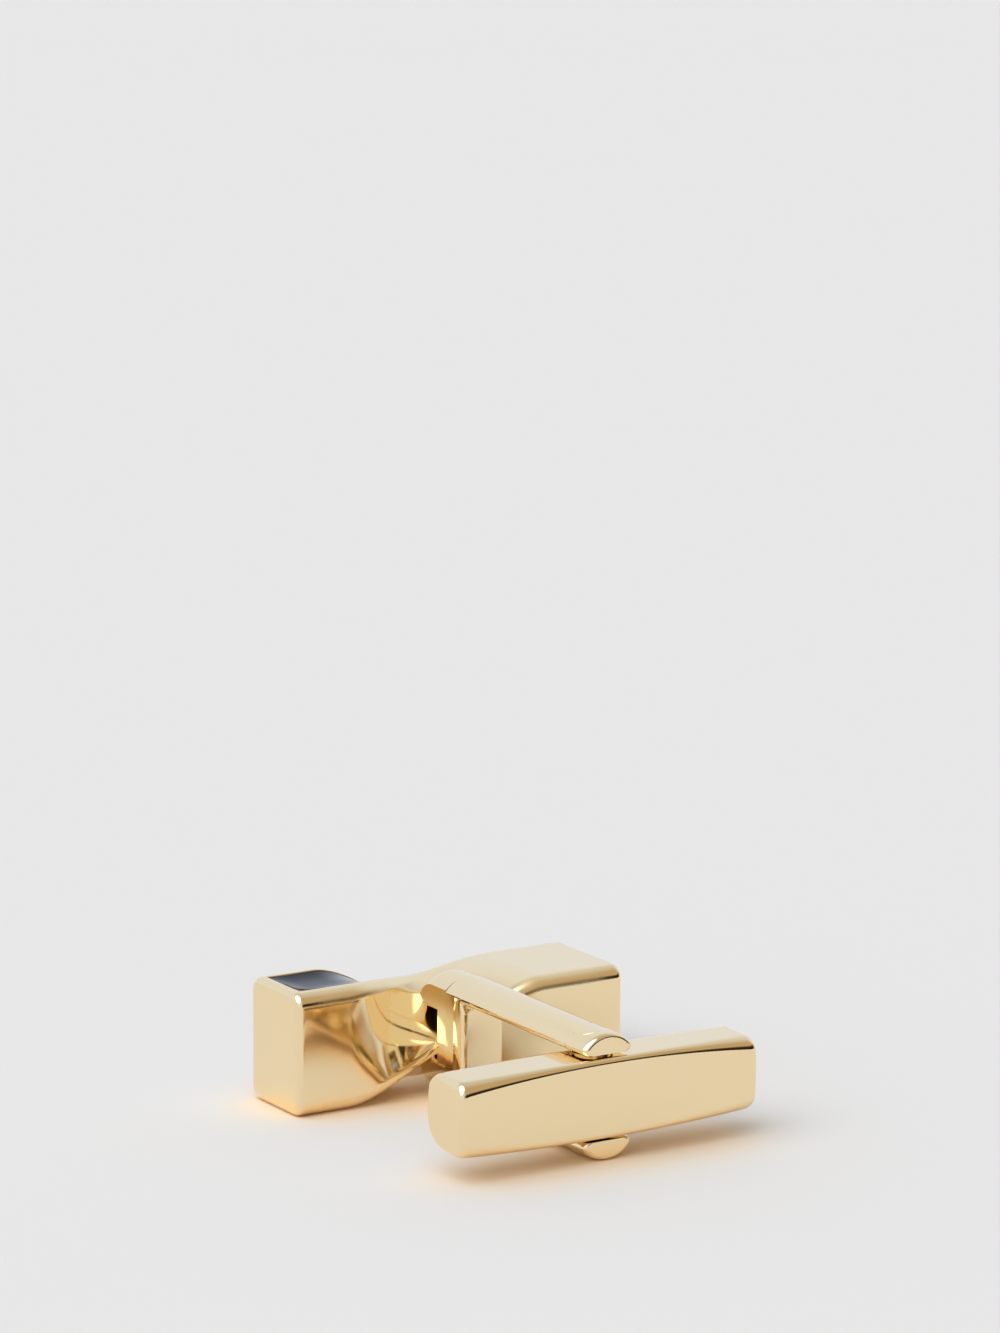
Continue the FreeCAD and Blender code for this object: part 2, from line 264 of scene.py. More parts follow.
# %% [markdown]
# Polished plate is nearly a perfect mirror, so its colour is the colour of its reflection: pale gold face
# on, and almost white at a glancing angle, which the metallic shader does by itself. What keeps it from
# looking like plastic chrome is small: a faint drift of tone in the plating, buffing lines that only show
# in the roughness, and a very shallow waviness left by the polishing wheel. The toggle is the brightest
# piece. The head is softer, and its rounded edges are softer still, so the finish reads an attribute,
# edge_share, that marks them.

# %% The gold plate
GOLD = (0.97, 0.778, 0.475)
PALER_GOLD = (0.955, 0.77, 0.48)
DRIFT_SCALE = 420.0
BUFFING_SCALE = 5200.0
BUFFING_STRETCH = (0.08, 1.0, 1.0)
WAVE_SCALE = 380.0
WAVE_STRENGTH = 0.35
WAVE_HEIGHT = 4e-6
MIRROR_ROUGHNESS = (0.025, 0.055)
SOFT_ROUGHNESS = (0.07, 0.10)
EDGE_DULLNESS = 0.22


def make_gold_plate(name, roughness, duller_edges=0.0):
    """Gold plate; duller_edges is added to the roughness where a mesh marks its points as part of an edge."""
    finish, tree, shader, place = new_finish(name)
    drift = spread(tree, noise(tree, place, DRIFT_SCALE), 0.0, 1.0)
    tree.links.new(mix_colour(tree, drift, GOLD, PALER_GOLD), shader.inputs["Base Color"])
    lines = noise(tree, place, BUFFING_SCALE, detail=3.0, stretch=BUFFING_STRETCH)
    edge = add_node(tree, "ShaderNodeAttribute", attribute_name="edge_share").outputs["Fac"]
    rough = maths(tree, "ADD", spread(tree, lines, *roughness), maths(tree, "MULTIPLY", edge, duller_edges))
    tree.links.new(rough, shader.inputs["Roughness"])
    add_relief(tree, shader, noise(tree, place, WAVE_SCALE, detail=1.0), WAVE_STRENGTH, WAVE_HEIGHT)
    shader.inputs["Metallic"].default_value = 1.0
    return finish


gold_plate = make_gold_plate("gold_plate", MIRROR_ROUGHNESS)
soft_gold = make_gold_plate("soft_gold_plate", SOFT_ROUGHNESS, EDGE_DULLNESS)
print("finishes:", gold_plate.name, soft_gold.name, len(gold_plate.node_tree.nodes), "nodes each")

# %% [markdown]
# The enamel is a navy so deep that it looks black until it catches the light. Fired enamel is glassy,
# with a faint unevenness like orange peel. The leaf spring is rolled steel, so its grain runs along the
# leaf.

# %% Enamel and spring steel
NAVY = (0.004, 0.005, 0.012)
PALER_NAVY = (0.007, 0.009, 0.020)
DEPTH_SCALE = 700.0
GLOSS_SCALE = 2600.0
ENAMEL_ROUGHNESS = (0.03, 0.07)
PEEL_SCALE = 900.0
PEEL_STRENGTH = 0.4
PEEL_HEIGHT = 4e-6
ENAMEL_IOR = 1.52
ENAMEL_SPECULAR = 0.17
STEEL = (0.50, 0.51, 0.53)
PALER_STEEL = (0.60, 0.61, 0.62)
STEEL_ROUGHNESS = (0.18, 0.32)
GRAIN_SCALE = 9000.0
GRAIN_STRETCH = (0.03, 1.0, 1.0)
GRAIN_STRENGTH = 0.4
GRAIN_HEIGHT = 2e-6


def make_navy_enamel():
    finish, tree, shader, place = new_finish("navy_enamel")
    depth = spread(tree, noise(tree, place, DEPTH_SCALE, detail=3.0), 0.0, 1.0)
    tree.links.new(mix_colour(tree, depth, NAVY, PALER_NAVY), shader.inputs["Base Color"])
    gloss = spread(tree, noise(tree, place, GLOSS_SCALE), *ENAMEL_ROUGHNESS)
    tree.links.new(gloss, shader.inputs["Roughness"])
    add_relief(tree, shader, noise(tree, place, PEEL_SCALE, detail=1.0), PEEL_STRENGTH, PEEL_HEIGHT)
    shader.inputs["IOR"].default_value = ENAMEL_IOR
    shader.inputs["Specular IOR Level"].default_value = ENAMEL_SPECULAR
    return finish


def make_spring_steel():
    finish, tree, shader, place = new_finish("spring_steel")
    grain = noise(tree, place, GRAIN_SCALE, detail=4.0, stretch=GRAIN_STRETCH)
    tone = mix_colour(tree, spread(tree, grain, 0.0, 1.0), STEEL, PALER_STEEL)
    tree.links.new(tone, shader.inputs["Base Color"])
    tree.links.new(spread(tree, grain, *STEEL_ROUGHNESS), shader.inputs["Roughness"])
    add_relief(tree, shader, grain, GRAIN_STRENGTH, GRAIN_HEIGHT)
    shader.inputs["Metallic"].default_value = 1.0
    return finish


navy_enamel = make_navy_enamel()
spring_steel = make_spring_steel()
print("finishes:", navy_enamel.name, spring_steel.name)

# %% [markdown]
# ## The head, before its twist
# The head is a bar with rounded edges and a recess along one face for the enamel. It could be modelled
# twisted at once, but a smith would make it straight and then turn it, and that is easier here too: the
# straight blank is a row of simple rings, and one rule twists both the bar and the enamel, so they keep
# their fit. The points of the rounded edges are marked on the blank as well, for the finish, while they
# are still easy to tell.

# %% The straight blank of the head
head_low, head_high = box_in_mm("head_bar")
HEAD_AXIS = (head_low + head_high) / 2
HEAD_LENGTH = head_high.x - head_low.x
BAR_HEIGHT = head_high.z - head_low.z
BAR_DEPTH = 4.6
EDGE_RADIUS = 0.7
END_RADIUS = 0.35
RIM = 0.76
END_RIM = 0.5
RECESS_DEPTH = 0.4
FLOOR_SHARES = (1.0, 0.7, 0.25)
LIP_RADIUS = 0.05
LIP_STEPS = 4
BLANK_STEPS = 150
EDGE_ONSET = 0.14
BRIGHT_END = 0.5
BRIGHT_WAIST = 2.6


def lip_steps():
    """How far a point of the recess's rounded lip lies from the wall, and how deep."""
    return [(LIP_RADIUS * (1 - math.sin(angle)), LIP_RADIUS * (1 - math.cos(angle)))
            for angle in quarter(LIP_STEPS)]


def recess_columns(top, deepest):
    """Points across the upper side, right to left: rim, lip, wall and floor, and the same back again."""
    half = BAR_DEPTH / 2 - RIM
    right = [(half + away, sink) for away, sink in lip_steps()]
    right += [(half * share, RECESS_DEPTH) for share in FLOOR_SHARES]
    across = right + [(-y, sink) for y, sink in reversed(right)]
    return [(y, top - min(sink, deepest)) for y, sink in across]


def blank_ring(x, inset, deepest):
    """A section of the blank, drawn in by inset, whose recess is no deeper than deepest."""
    half_depth, half_height = BAR_DEPTH / 2 - inset, BAR_HEIGHT / 2 - inset
    outline = rounded_outline(-half_depth, half_depth, -half_height, half_height, [EDGE_RADIUS - inset] * 4,
                              recess_columns(half_height, deepest))
    return [(x, y, z) for y, z in outline]


def blank_rings():
    """The rounding of one end, the lip and the wall of the recess, and the same mirrored at the other end."""
    end = [(END_RADIUS * (1 - math.cos(angle)), END_RADIUS * (1 - math.sin(angle)), 0.0)
           for angle in quarter()]
    end += [(END_RIM - away, 0.0, sink) for away, sink in lip_steps()]
    half = HEAD_LENGTH / 2
    run = HEAD_LENGTH - 2 * END_RIM
    rings = [blank_ring(along - half, inset, sink) for along, inset, sink in end]
    rings += [blank_ring(END_RIM - half + run * step / BLANK_STEPS, 0.0, RECESS_DEPTH)
              for step in range(BLANK_STEPS + 1)]
    rings += [blank_ring(half - along, inset, sink) for along, inset, sink in reversed(end)]
    return rings


def mark_edges(piece):
    """Mark the points of the rounded edges for the finish, but not at the ends and the waist."""
    share = piece.data.attributes.new("edge_share", "FLOAT", "POINT")
    for point, note in zip(piece.data.vertices, share.data):
        x, y, z = (abs(c) / MM for c in point.co)
        into = (min(y - BAR_DEPTH / 2, z - BAR_HEIGHT / 2) / EDGE_RADIUS + 1.0) / EDGE_ONSET
        from_end, from_waist = HEAD_LENGTH / 2 - x - BRIGHT_END, x - BRIGHT_WAIST
        note.value = max(min(into, from_end, from_waist, 1.0), 0.0)


head_blank = skin("head_blank", blank_rings())
mark_edges(head_blank)
tell(head_blank)

# %% [markdown]
# ## The twist, as a rule
# Between two straight end blocks the bar turns a quarter, starting and ending gently, and it narrows to a
# waist in the middle. Simple Deform can twist, but it can't ease or narrow. In Geometry Nodes the rule is
# a short chain: how far a point is along the twist gives its turn and its scale, and Set Position puts it
# there.

# %% Geometry Nodes: twist and narrow a straight blank
LEFT_BLOCK = 3.0
RIGHT_BLOCK = 4.5
TWIST_ANGLE = 90.0
WAIST = 0.3


def new_tree(name, inputs):
    """A geometry tree with named inputs, and its two end nodes."""
    tree = bpy.data.node_groups.new(name, "GeometryNodeTree")
    tree.interface.new_socket("Geometry", in_out="INPUT", socket_type="NodeSocketGeometry")
    for label, kind in inputs.items():
        tree.interface.new_socket(label, in_out="INPUT", socket_type=f"NodeSocket{kind}")
    tree.interface.new_socket("Geometry", in_out="OUTPUT", socket_type="NodeSocketGeometry")
    return tree, tree.nodes.new("NodeGroupInput").outputs, tree.nodes.new("NodeGroupOutput")


def close_tree(tree, geometry, finish, end):
    """Every tree ends in plain geometry with its material on it."""
    real = add_node(tree, "GeometryNodeRealizeInstances", {"Geometry": geometry}).outputs[0]
    dressed = add_node(tree, "GeometryNodeSetMaterial", {"Geometry": real, "Material": finish}).outputs[0]
    tree.links.new(dressed, end.inputs["Geometry"])


def make_twist_tree():
    """Narrow and turn the points of a blank that lies along X, then move them to the head's axis."""
    tree, given, end = new_tree("twist_and_waist", {"Axis Place": "Vector", "Start": "Float", "End": "Float",
                                                    "Angle": "Float", "Waist": "Float", "Finish": "Material"})
    place = add_node(tree, "GeometryNodeInputPosition").outputs["Position"]
    along = add_node(tree, "ShaderNodeSeparateXYZ", {0: place}).outputs["X"]
    span = {"Value": along, "From Min": given["Start"], "From Max": given["End"]}
    share = add_node(tree, "ShaderNodeMapRange", span).outputs["Result"]
    eased = add_node(tree, "ShaderNodeMapRange", span, interpolation_type="SMOOTHSTEP").outputs["Result"]
    # Four times share times its rest is 0 where the twist starts and ends, and 1 halfway.
    hump = maths(tree, "MULTIPLY", maths(tree, "MULTIPLY", share, maths(tree, "SUBTRACT", 1.0, share)), 4.0)
    narrowing = maths(tree, "MULTIPLY", maths(tree, "POWER", hump, 2.0), given["Waist"])
    scale = maths(tree, "SUBTRACT", 1.0, narrowing)
    section = add_node(tree, "ShaderNodeCombineXYZ", {"X": 1.0, "Y": scale, "Z": scale}).outputs[0]
    narrowed = add_node(tree, "ShaderNodeVectorMath", {0: place, 1: section}, operation="MULTIPLY").outputs[0]
    turn = maths(tree, "MULTIPLY", maths(tree, "MULTIPLY", eased, given["Angle"]), -1.0)
    turned = add_node(tree, "ShaderNodeVectorRotate", {"Vector": narrowed, "Angle": turn},
                      rotation_type="X_AXIS").outputs[0]
    moved = add_node(tree, "ShaderNodeVectorMath", {0: turned, 1: given["Axis Place"]}).outputs[0]
    shaped = add_node(tree, "GeometryNodeSetPosition", {"Geometry": given["Geometry"], "Position": moved})
    close_tree(tree, shaped.outputs[0], given["Finish"], end)
    return tree


def grow(blank, tree, name, **inputs):
    """Run a tree on a blank and keep the result as a plain mesh in place of the blank."""
    modifier = blank.modifiers.new(tree.name, "NODES")
    modifier.node_group = tree
    sockets = {item.name.lower().replace(" ", "_"): item.identifier
               for item in tree.interface.items_tree if item.in_out == "INPUT"}
    for label, value in inputs.items():
        modifier[sockets[label]] = value
    graph = bpy.context.evaluated_depsgraph_get()
    mesh = bpy.data.meshes.new_from_object(blank.evaluated_get(graph), depsgraph=graph)
    mesh.name = name
    bpy.data.objects.remove(blank)
    piece = bpy.data.objects.new(name, mesh)
    bpy.context.scene.collection.objects.link(piece)
    return piece


twist_tree = make_twist_tree()
TWIST = {"axis_place": HEAD_AXIS * MM, "start": (LEFT_BLOCK - HEAD_LENGTH / 2) * MM,
         "end": (HEAD_LENGTH / 2 - RIGHT_BLOCK) * MM, "angle": math.radians(TWIST_ANGLE), "waist": WAIST}
twisted_head = grow(head_blank, twist_tree, "twisted_head", finish=soft_gold, **TWIST)
tell(twisted_head)

# %% [markdown]
# ## The enamel
# Enamel is poured into the recess and shrinks as it sets, so it climbs a little at the rim and sinks in
# the middle. That hollow is what makes it show a pale streak near the viewer and stay dark further back.
# The strip is made straight as well, and the same tree twists it.

# %% The enamel strip
ENAMEL_DROP = 0.06
ENAMEL_SAG = 0.16
SAG_POWER = 2.6
SAG_RUN = 1.2
ENAMEL_STEPS = 150
ACROSS_STEPS = 24
WALL_OVERLAP = 0.01


def enamel_top(x, y, half_length, half_width):
    """Height of the enamel: level with the drop at the rim and lower towards the middle."""
    side_share = min(abs(y) / half_width, 1.0)
    end_share = max(0.0, 1.0 - (half_length - abs(x)) / SAG_RUN)
    sag = ENAMEL_SAG * (1 - side_share ** SAG_POWER) * (1 - end_share ** 2)
    return BAR_HEIGHT / 2 - ENAMEL_DROP - sag


def enamel_rings():
    """Sections along the recess, hollow above and square below."""
    half_length = HEAD_LENGTH / 2 - END_RIM + WALL_OVERLAP
    half_width = BAR_DEPTH / 2 - RIM + WALL_OVERLAP
    bottom = BAR_HEIGHT / 2 - RECESS_DEPTH - WALL_OVERLAP
    across = [half_width * (1 - 2 * step / ACROSS_STEPS) for step in range(ACROSS_STEPS + 1)]
    for step in range(ENAMEL_STEPS + 1):
        x = half_length * (2 * step / ENAMEL_STEPS - 1)
        upper = [(x, y, enamel_top(x, y, half_length, half_width)) for y in across]
        yield upper + [(x, -half_width, bottom), (x, half_width, bottom)]


enamel_blank = skin("enamel_blank", list(enamel_rings()))
enamel_strip = grow(enamel_blank, twist_tree, "enamel_strip", finish=navy_enamel, **TWIST)
tell(enamel_strip)

# %% [markdown]
# ## The root of the post
# The ridge of the waist carries the root of the post: a pad, and two lugs that reach over and under the
# ridge and end in round shoulders. The post is brazed to the pad, and one narrow groove is left between
# the two. The brazing also runs over the two bends of the post in thin caps. All of it is rows of
# sections along the post's direction: straight sides, domed where the post is domed.

# %% The root on the waist and the brazing in front of it
braze_low, braze_high = box_in_mm("braze_joint")
ROOT_BACK = 0.6
ROOT_DOME = 0.54
PAD_THICKNESS = 0.8
PAD_HALF_WIDTH = 1.24
PAD_HALF_HEIGHT = 2.86
LUG_ROUND = 1.2
LUG_HALF_WIDTH = 1.27
LUG_HEIGHT = 2.98
LUG_FLOOR = 1.2
LUG_LOWEST = 1.85
LUG_EDGE = 0.25
LUG_EDGE_STEPS = 5
CAP_HALF_WIDTH = 1.33
CAP_HEIGHT = 3.03
CAP_DOME = 0.65
CAP_FLOOR = 2.3
CAP_EDGE = 0.04
CAP_LENGTH = 1.5
BRAZE_HALF_WIDTH = 1.33
BRAZE_HALF_HEIGHT = 2.99
BRAZE_DOME = 0.64
GROOVE_WIDTH = 0.08
GROOVE_DEPTH = 0.1
CORE_REACH = 3 * GROOVE_WIDTH
ARCH_STEPS = 28


def arch_radius(half_width, rise):
    """Radius of the arc that rises so far over so wide a base."""
    return (half_width ** 2 + rise ** 2) / (2 * rise)


def arch(half_width, rise, apex):
    """An arc from right to left over the given width, with its highest point at the apex."""
    radius = arch_radius(half_width, rise)
    reach = math.asin(half_width / radius)
    angles = [reach * (1 - 2 * step / ARCH_STEPS) for step in range(ARCH_STEPS + 1)]
    return [(radius * math.sin(angle), apex - radius * (1 - math.cos(angle))) for angle in angles]


def domed_ring(y, half_width, rise, apex):
    """Straight sides, domed above and below."""
    upper = arch(half_width, rise, apex)
    lower = [(-x, -z) for x, z in upper]
    outline = upper + plain_side(upper[-1], lower[0]) + lower + plain_side(lower[-1], upper[0])
    return [(PIVOT.x + x, y, PIVOT.z + z) for x, z in outline]


def lug_ring(y, apex, side, half_width=LUG_HALF_WIDTH, dome=ROOT_DOME, floor=LUG_FLOOR, edge=LUG_EDGE):
    """A section that is domed above and flat below, or the other way round where side is -1."""
    upper = arch(half_width, dome, apex)
    right = [(half_width - edge * (1 - math.sin(angle)), floor + edge * (1 - math.cos(angle)))
             for angle in quarter(LUG_EDGE_STEPS)]
    left = [(-x, z) for x, z in reversed(right)]
    outline = upper + plain_side(upper[-1], left[0]) + left + plain_side(left[-1], right[0]) + right
    outline += plain_side(right[-1], upper[0])
    return [(PIVOT.x + x, y, PIVOT.z + side * z) for x, z in outline]


def root_rings():
    """The pad, and the two lugs from their round shoulders to the seat of the brazing."""
    pad = [domed_ring(y, PAD_HALF_WIDTH, ROOT_DOME, PAD_HALF_HEIGHT)
           for y in (braze_high.y + PAD_THICKNESS, braze_high.y)]
    back = HEAD_AXIS.y - ROOT_BACK
    stations = [(back - LUG_ROUND * (1 - math.cos(angle)),
                 max(LUG_HEIGHT - LUG_ROUND * (1 - math.sin(angle)), LUG_LOWEST)) for angle in quarter()]
    stations.append((braze_high.y, LUG_HEIGHT))
    lugs = [[lug_ring(y, apex, side) for y, apex in stations] for side in (1, -1)]
    return pad, *lugs


def braze_rings():
    """The brazing, the narrower core that is the floor of the groove, and the caps over the two bends."""
    front, seat = braze_low.y - GROOVE_WIDTH, braze_high.y - GROOVE_WIDTH
    pad = [domed_ring(y, BRAZE_HALF_WIDTH, BRAZE_DOME, BRAZE_HALF_HEIGHT) for y in (seat, front)]
    core = [domed_ring(y, PAD_HALF_WIDTH - GROOVE_DEPTH, ROOT_DOME, PAD_HALF_HEIGHT - GROOVE_DEPTH)
            for y in (seat + CORE_REACH, seat - GROOVE_WIDTH)]
    caps = [[lug_ring(y, CAP_HEIGHT, side, CAP_HALF_WIDTH, CAP_DOME, CAP_FLOOR, CAP_EDGE)
             for y in (seat, seat - CAP_LENGTH)] for side in (1, -1)]
    return pad, core, *caps


post_root = skin("post_root", *root_rings())
brazing = skin("brazing", *braze_rings())
for piece in (post_root, brazing):
    piece.data.materials.append(soft_gold)
    tell(piece)

# %% [markdown]
# ## The post
# The post is half-round strip, bent to a U: domed outside, and flat inside with rounded edges. A path and
# one section say all of that, so both are made first, as plain chains of edges. The path runs a little
# above the flat side, so that the tips, where the section will shrink towards it, are rounded on both
# sides.

# %% The path and the section of the strip
post_low, post_high = box_in_mm("post")
STRIP_HALF = (post_high.x - post_low.x) / 2
STRIP_THICKNESS = 1.0
STRIP_LIP = 0.34
STRIP_RISE = STRIP_THICKNESS - STRIP_LIP
STRIP_EDGE = 0.31
STRIP_MIDDLE = 0.14
BEND_RADIUS = 0.5
BEND_STEPS = 14
TIP_ROUND = 0.3
TIP_STEPS = 10
EDGE_STEPS = 8


def post_path():
    """From the lower tip round the bottom of the U to the upper tip, close above the strip's flat side."""
    inset = STRIP_THICKNESS - STRIP_MIDDLE
    low, high = post_low.z + inset, post_high.z - inset
    tip, web = post_low.y, post_high.y - inset
    bend = BEND_RADIUS + STRIP_MIDDLE
    corner = web - bend
    lower = [(tip + TIP_ROUND * (1 - math.cos(angle)), low) for angle in quarter(TIP_STEPS)]
    lower += [(corner + bend * math.sin(angle), low + bend * (1 - math.cos(angle)))
              for angle in quarter(BEND_STEPS)]
    return lower + [(y, low + high - z) for y, z in reversed(lower)]


def strip_section():
    """The section about the path: x across the strip and y out of the U, anticlockwise."""
    right = [(STRIP_HALF - STRIP_EDGE * (1 - math.sin(angle)), STRIP_EDGE * (1 - math.cos(angle)))
             for angle in quarter(EDGE_STEPS)]
    dome = arch(STRIP_HALF, STRIP_RISE, STRIP_THICKNESS)
    section = right + dome + [(-x, y) for x, y in reversed(right)]
    return [(x, y - STRIP_MIDDLE) for x, y in section]


def wire(name, points, closed=False):
    """A chain of edges through points in millimetres."""
    mesh = bpy.data.meshes.new(name)
    edges = [(index, index + 1) for index in range(len(points) - 1)]
    if closed:
        edges.append((len(points) - 1, 0))
    mesh.from_pydata([Vector(point) * MM for point in points], edges, [])
    made = bpy.data.objects.new(name, mesh)
    bpy.context.scene.collection.objects.link(made)
    return made


path_wire = wire("post_path", [(0.0, y, z) for y, z in post_path()])
section_wire = wire("strip_section", [(x, y, 0.0) for x, y in strip_section()], closed=True)
print("points of the path:", len(path_wire.data.vertices), "of the section:", len(section_wire.data.vertices))

# %% [markdown]
# A curve with a bevel object can sweep a section too. The tree does the same and can also shrink the
# section: at both tips it gets smaller along a quarter circle, over about a third of a millimetre, which
# rounds the edge of the cut end. That narrow rounding is the dark line on top of each tip.

# %% Geometry Nodes: sweep the strip along the path
INSIDE_DULLNESS = 0.08


def make_sweep_tree():
    """Sweep a section along a chain of edges, smaller and smaller at both tips."""
    tree, given, end = new_tree("sweep_strip", {"Section": "Object", "Tip Round": "Float",
                                                "Half Width": "Float", "Finish": "Material"})
    path = add_node(tree, "GeometryNodeMeshToCurve", {"Mesh": given["Geometry"]}).outputs["Curve"]
    outline = add_node(tree, "GeometryNodeObjectInfo", {"Object": given["Section"]}).outputs["Geometry"]
    section = add_node(tree, "GeometryNodeMeshToCurve", {"Mesh": outline}).outputs["Curve"]
    here = add_node(tree, "GeometryNodeSplineParameter").outputs["Length"]
    whole = add_node(tree, "GeometryNodeSplineLength").outputs["Length"]
    to_tip = maths(tree, "MINIMUM", here, maths(tree, "SUBTRACT", whole, here))
    short = maths(tree, "MAXIMUM", maths(tree, "SUBTRACT", given["Tip Round"], to_tip), 0.0)
    reach = maths(tree, "SQRT", maths(tree, "SUBTRACT", maths(tree, "POWER", given["Tip Round"], 2.0),
                                      maths(tree, "POWER", short, 2.0)))
    inset = maths(tree, "SUBTRACT", given["Tip Round"], reach)
    scale = maths(tree, "SUBTRACT", 1.0, maths(tree, "DIVIDE", inset, given["Half Width"]))
    swept = add_node(tree, "GeometryNodeCurveToMesh", {"Curve": path, "Profile Curve": section,
                                                       "Scale": scale, "Fill Caps": True})
    close_tree(tree, swept.outputs["Mesh"], given["Finish"], end)
    return tree


post_plate = make_gold_plate("post_plate", MIRROR_ROUGHNESS, INSIDE_DULLNESS)
post_strip = grow(path_wire, make_sweep_tree(), "post_strip", section=section_wire, tip_round=TIP_ROUND * MM,
                  half_width=STRIP_HALF * MM, finish=post_plate)
bpy.data.objects.remove(section_wire)
tell(post_strip)

# %% [markdown]
# The inside of the U is the one place that the polishing wheel hardly reaches, so it is marked as duller.
# Bending by hand also leaves the inner side of the web a little turned, and a mirror shows that: it faces
# the paper beside the toggle and not the toggle's back. Moving the points that are there already is the
# simplest way to turn it, with a share that fades out through both bends, so that no crease is left.

# %% The inside of the U
INNER_WEB = post_high.y - STRIP_THICKNESS
INNER_ARM = (post_high.z - post_low.z) / 2 - STRIP_THICKNESS
INSIDE_MARGIN = 0.02
WEB_SLANT = 0.21


def dull_inside(strip):
    """Mark the points on the inner side of the U for the finish."""
    share = strip.data.attributes.new("edge_share", "FLOAT", "POINT")
    web, arm = INNER_WEB + INSIDE_MARGIN, INNER_ARM + INSIDE_MARGIN
    for point, note in zip(strip.data.vertices, share.data):
        note.value = float(point.co.y / MM < web and abs(point.co.z / MM - PIVOT.z) < arm)


def slant_web(strip):
    """Turn the inner side of the web: the further left a point is, the more it comes forward."""
    bend_y, bend_z = INNER_WEB - BEND_RADIUS, INNER_ARM - BEND_RADIUS
    for point in strip.data.vertices:
        x, _, z = point.co / MM - PIVOT
        along, up = max(point.co.y / MM - bend_y, 0.0), max(abs(z) - bend_z, 0.0)
        behind = math.hypot(along, up) - BEND_RADIUS
        if behind > STRIP_EDGE + INSIDE_MARGIN:
            continue
        share = math.sin(math.atan2(along, up)) ** 2
        point.co.y -= WEB_SLANT * (STRIP_HALF - x) * share * MM


dull_inside(post_strip)
slant_web(post_strip)
tell(post_strip)

# %% [markdown]
# ## The rivet
# The rivet's ends are filed down together with the domed strip. On the ridge they are level with it, and
# towards the sides they stand a hair proud, so only a thin broken line gives them away. Its middle is
# squared for the spring, out of sight in the toggle. Rings suit it too: their points simply follow a
# share of the strip's dome.

# %% The rivet
rivet_low, rivet_high = box_in_mm("pivot_rivet")
RIVET_ROUND = 0.03
RIVET_ROUND_STEPS = 4
RIVET_POINTS = 72
RIVET_FOLLOW = 0.85
FILED_SHARES = (0.15, 0.35, 0.55, 0.72, 0.86)
SQUARE_HALF = 0.63
SQUARE_LENGTH = 1.5
STRIP_RADIUS = arch_radius(STRIP_HALF, STRIP_RISE)


def circle_ring(radius, z, follow=0.0):
    """A circle about the pivot; follow lowers its sides by a share of the fall of the strip's dome."""
    ring = []
    for step in range(RIVET_POINTS):
        turn = 2 * math.pi * step / RIVET_POINTS
        x, y = radius * math.cos(turn), radius * math.sin(turn)
        fall = follow * (STRIP_RADIUS - math.sqrt(STRIP_RADIUS ** 2 - x ** 2)) if follow else 0.0
        ring.append((PIVOT.x + x, PIVOT.y + y, z - math.copysign(fall, z - PIVOT.z)))
    return ring


def shank_rings(end, inner):
    """From the filed end to the squared middle."""
    radius = (rivet_high.x - rivet_low.x) / 2
    into = 1 if inner > end else -1
    rings = [circle_ring(radius * share, end, RIVET_FOLLOW) for share in FILED_SHARES]
    for angle in quarter(RIVET_ROUND_STEPS):
        level = end + into * RIVET_ROUND * (1 - math.cos(angle))
        rings.append(circle_ring(radius - RIVET_ROUND * (1 - math.sin(angle)), level, RIVET_FOLLOW))
    return rings + [circle_ring(radius, inner)]


def square_rings():
    """The squared middle, from below to above."""
    outline = rounded_outline(-SQUARE_HALF, SQUARE_HALF, -SQUARE_HALF, SQUARE_HALF, [RIVET_ROUND] * 4)
    return [[(PIVOT.x + x, PIVOT.y + y, PIVOT.z + side * SQUARE_LENGTH / 2) for x, y in outline]
            for side in (-1, 1)]


rivet = skin("rivet", shank_rings(rivet_low.z, PIVOT.z - SQUARE_LENGTH / 2), square_rings(),
             shank_rings(rivet_high.z, PIVOT.z + SQUARE_LENGTH / 2))
rivet.data.materials.append(gold_plate)
tell(rivet)

# %% [markdown]
# ## The toggle
# The toggle is a bar whose upper and lower sides swell a little in the middle. Its front edges are
# rounded more at the ends than in the middle, because the polishing wheel takes more off there. The
# rounding above and below each end is a wedge, more at the front than at the back, and the end itself is
# slightly bowed. That is hard to say with one bevel and easy with rings: each ring has its own height and
# its own radius.

# %% The toggle's rings
toggle_low, toggle_high = box_in_mm("toggle_bar")
TOGGLE_HALF = (toggle_high.x - toggle_low.x) / 2
TOGGLE_MIDDLE = (toggle_high.z - toggle_low.z) / 2
TOGGLE_CROWN = 0.12
FRONT_ROUND_MIDDLE = 0.28
FRONT_ROUND_END = 0.74
FRONT_SHRINK = 1.9
BACK_ROUND_TOP = 0.85
BACK_ROUND_BOTTOM = 1.6
CORNER_ROUND = 0.42
BACK_CORNER = 0.12
END_EDGE_ROUND = 0.22
END_BOW = 0.14
END_BOW_POWER = 14
END_STEPS = 14
SMALLEST_ROUND = 0.04
TOGGLE_STEPS = 64


